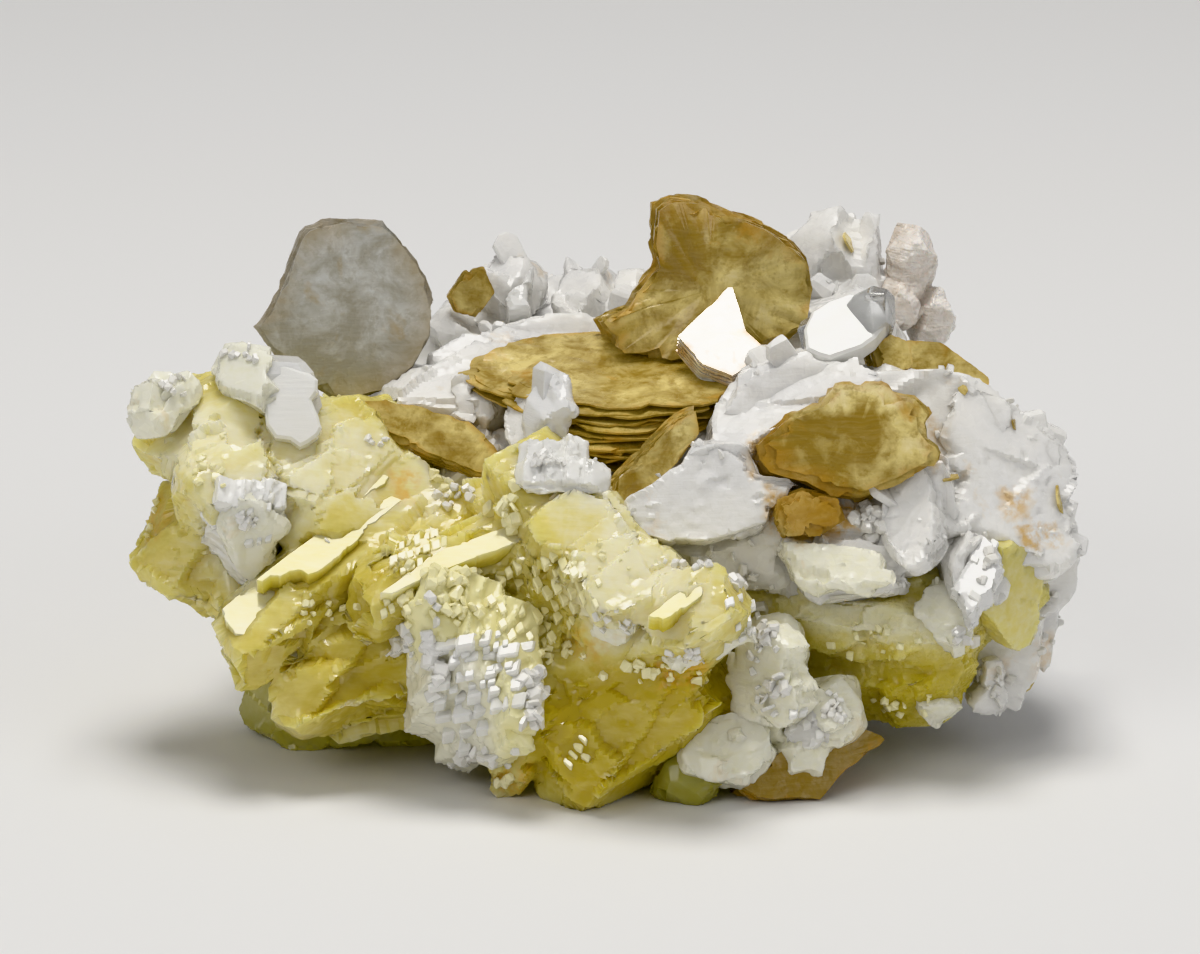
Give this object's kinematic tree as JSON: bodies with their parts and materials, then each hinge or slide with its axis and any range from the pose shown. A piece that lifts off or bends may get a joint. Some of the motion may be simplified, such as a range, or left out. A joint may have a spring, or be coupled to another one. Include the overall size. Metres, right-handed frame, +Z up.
{
  "type": "brazilianite crystal cluster",
  "caption": "Yellow-green brazilianite crystals grown together with white albite blades and brown muscovite books, as a hand specimen that rests on its flat underside.",
  "frame": {"origin": "middle of the footprint, on the plane that the specimen stands on", "axes": "+X to the right across the show side, +Y away from the show side, +Z up"},
  "size_m": [0.059, 0.0436, 0.0322],
  "materials": {
    "brazilianite": "translucent yellow-green crystal with glassy faces",
    "albite": "milky white, sugary and pearly",
    "quartz": "clear and glassy",
    "feldspar": "dull pinkish white with a brown skin",
    "muscovite": "brown mica sheets with a pearly sheen"
  },
  "bodies": {
    "root": {"brazilianite_main_cluster": "brazilianite", "brazilianite_lower_crystal": "brazilianite", "brazilianite_right_cluster": "brazilianite", "brazilianite_foot_crystal": "brazilianite", "brazilianite_back_cluster": "brazilianite", "quartz_clear_crystal": "quartz", "albite_striated_crystal": "albite", "albite_small_crystal": "albite", "albite_left_crown": "albite", "albite_left_cap": "albite", "albite_right_druse": "albite", "albite_front_crust": "albite", "albite_left_crust": "albite", "albite_ridge_crown": "albite", "albite_matrix": "albite", "feldspar_knobs": "feldspar", "muscovite_left_book": "muscovite", "muscovite_right_book": "muscovite", "muscovite_stain_book": "muscovite", "muscovite_top_book": "muscovite", "muscovite_bright_book": "muscovite", "muscovite_leaf_book": "muscovite", "muscovite_shelf_book": "muscovite", "muscovite_back_book": "muscovite", "muscovite_small_book": "muscovite", "muscovite_corner_book": "muscovite", "muscovite_fan_book": "muscovite", "muscovite_foot_plate": "muscovite"}
  },
  "joints": []
}
